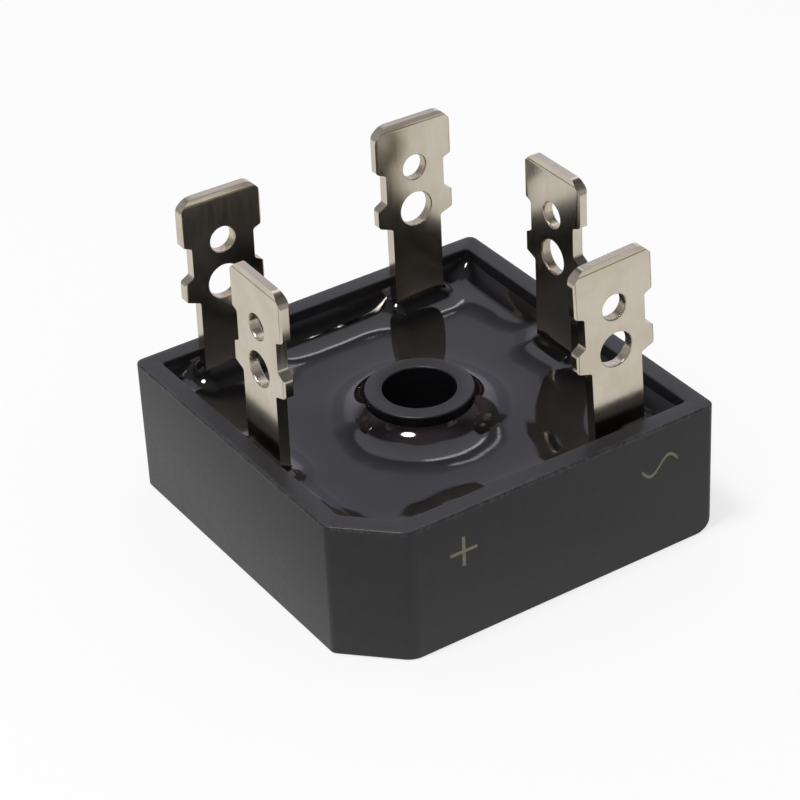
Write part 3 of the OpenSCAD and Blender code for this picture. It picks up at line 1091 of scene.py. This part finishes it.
# How much of the floor is plain white light where it is seen, and how much less of that a
# reflection shows
FLOOR_GLOW = 0.72
FLOOR_DIM = 0.22

bm = bmesh.new()
bmesh.ops.create_circle(bm, cap_ends=True, segments=64, radius=FLOOR_R)
mesh = bpy.data.meshes.new("floor")
bm.to_mesh(mesh)
bm.free()
floor = bpy.data.objects.new("floor", mesh)
# A hair below the part, so that the two undersides don't fight
floor.location.z = -0.05 * MM
scene.collection.objects.link(floor)

floor_finish = bpy.data.materials.new("white_floor")
floor_finish.use_nodes = True
tree = floor_finish.node_tree
tree.nodes.clear()
plain = add(tree, "ShaderNodeBsdfDiffuse")
plain.inputs["Color"].default_value = (FLOOR_WHITE, FLOOR_WHITE, FLOOR_WHITE, 1)
glow = add(tree, "ShaderNodeEmission")
path = add(tree, "ShaderNodeLightPath")
seen = maths(tree, "MAXIMUM", path.outputs["Is Camera Ray"], path.outputs["Is Glossy Ray"])
seen = maths(tree, "MAXIMUM", seen, path.outputs["Is Transmission Ray"])
dimmed = times(tree, path.outputs["Is Glossy Ray"], FLOOR_DIM)
feed(tree, glow.inputs["Strength"], minus(tree, 1.0, dimmed))
mixed = add(tree, "ShaderNodeMixShader")
feed(tree, mixed.inputs[0], times(tree, seen, FLOOR_GLOW))
feed(tree, mixed.inputs[1], plain.outputs[0])
feed(tree, mixed.inputs[2], glow.outputs[0])
feed(tree, add(tree, "ShaderNodeOutputMaterial").inputs["Surface"], mixed.outputs[0])
floor.data.materials.append(floor_finish)
print("floor radius in mm:", FLOOR_R / MM)


# %% Surroundings
def levels(tree, height, steps):
    """A ramp; steps are pairs of a position from 0 to 1 and a brightness."""
    ramp = add(tree, "ShaderNodeValToRGB")
    feed(tree, ramp.inputs[0], height)
    elements = ramp.color_ramp.elements
    elements[0].position, elements[1].position = steps[0][0], steps[-1][0]
    for position, _ in steps[1:-1]:
        elements.new(position)
    for element, (position, value) in zip(elements, steps):
        element.color = (value, value * 0.985, value * 1.06, 1)
    return ramp.outputs[0]


def background(tree, strength):
    """A plain white light from all round."""
    made = add(tree, "ShaderNodeBackground")
    made.inputs["Color"].default_value = (1, 1, 1, 1)
    made.inputs["Strength"].default_value = strength
    return made.outputs[0]


def choose(tree, factor, a, b):
    """Shader b where factor is 1, and a elsewhere."""
    made = add(tree, "ShaderNodeMixShader")
    for socket, value in zip(made.inputs, (factor, a, b)):
        feed(tree, socket, value)
    return made.outputs[0]


world = bpy.data.worlds.new("tent")
scene.world = world
world.use_nodes = True
tree = world.node_tree
tree.nodes.clear()
path = add(tree, "ShaderNodeLightPath").outputs
where = add(tree, "ShaderNodeTexCoord").outputs["Generated"]
east, north, up = axes_of(tree, where)

# Brightness by the height of a direction: behind the part, and elsewhere
behind = levels(tree, up, [
    (0.0, 0.72), (0.588, 0.72), (0.604, 0.48), (0.645, 0.34), (0.680, 0.32), (0.69, 0.95),
    (0.72, 1.06), (0.74, 1.06), (0.945, 1.05), (0.965, 0.35), (1.0, 0.33)])
around = levels(tree, up, [
    (0.0, 0.38), (0.40, 0.40), (0.50, 0.36), (0.60, 0.30), (0.70, 0.12), (0.80, 0.06),
    (0.87, 0.10), (0.93, 0.22), (1.0, 0.33)])

# Faint rings about the direction that the flat resin reflects to the camera
RING_SPAN = 30
centre = add(tree, "ShaderNodeVectorMath", operation="DOT_PRODUCT")
feed(tree, centre.inputs[0], where)
centre.inputs[1].default_value = Vector((0.448, 0.71, 0.545)).normalized()
apart = maths(tree, "ARCCOSINE", maths(tree, "MINIMUM", centre.outputs["Value"], 0.99999))
apart = maths(tree, "MULTIPLY", apart, 180 / math.pi / RING_SPAN, clamp=True)
rings = levels(tree, apart, [(degrees / RING_SPAN, value) for degrees, value in (
    (0, 0.98), (6, 0.98), (7.5, 1.06), (9.5, 0.84), (15.5, 0.82), (18.5, 1.25), (24, 1.3),
    (30, 1.2))])
rings = blend_colour(tree, span(tree, up, 0.60, 0.57), (1, 1, 1, 1), rings)
behind = blend_colour(tree, 1.0, behind, rings, "MULTIPLY")

# The bright part of the tent is a sector about one heading
HEADING = (0.53, 0.848)
level_part = minus(tree, 1.0, times(tree, up, up))
level_part = maths(tree, "SQRT", maths(tree, "MAXIMUM", level_part, 1e-4))
toward = plus(tree, times(tree, east, HEADING[0]), times(tree, north, HEADING[1]))
sector = span(tree, maths(tree, "DIVIDE", toward, level_part), 0.72, 0.88)
tent = add(tree, "ShaderNodeBackground")
feed(tree, tent.inputs["Color"], blend_colour(tree, sector, around, behind))

# Reflections show the tent, diffuse surfaces get a soft even light, the rest is white
lit = choose(tree, path["Is Glossy Ray"], background(tree, 0.5), tent.outputs[0])
seen = maths(tree, "MAXIMUM", path["Is Camera Ray"], path["Is Transmission Ray"])
lit = choose(tree, seen, lit, background(tree, 1.0))
feed(tree, add(tree, "ShaderNodeOutputWorld").inputs["Surface"], lit)
print("surroundings:", world.name)


# %% Lamps
def lamp(name, azimuth, elevation, distance, wide, high, brightness, shape="RECTANGLE"):
    """A lamp at a direction from the part, facing it. Brightness is that of its face."""
    a, e = math.radians(azimuth), math.radians(elevation)
    direction = Vector((math.cos(a) * math.cos(e), math.sin(a) * math.cos(e), math.sin(e)))
    data = bpy.data.lights.new(name, "AREA")
    data.shape, data.size, data.size_y = shape, wide, high
    data.energy = 4 * brightness * wide * high
    made = bpy.data.objects.new(name, data)
    made.location = direction * distance
    made.rotation_mode = "QUATERNION"
    made.rotation_quaternion = (-direction).to_track_quat("-Z", "Y")
    scene.collection.objects.link(made)
    print(name, "watts:", round(data.energy, 3))


lamp("overhead", 190, 72.4, distance=0.5, wide=0.125, high=0.105, brightness=28.0,
     shape="ELLIPSE")
lamp("tube_upper", 51, 44.8, distance=0.8, wide=0.12, high=0.024, brightness=2.9)
lamp("tube_lower", 50, 39.3, distance=0.8, wide=0.12, high=0.010, brightness=2.2)
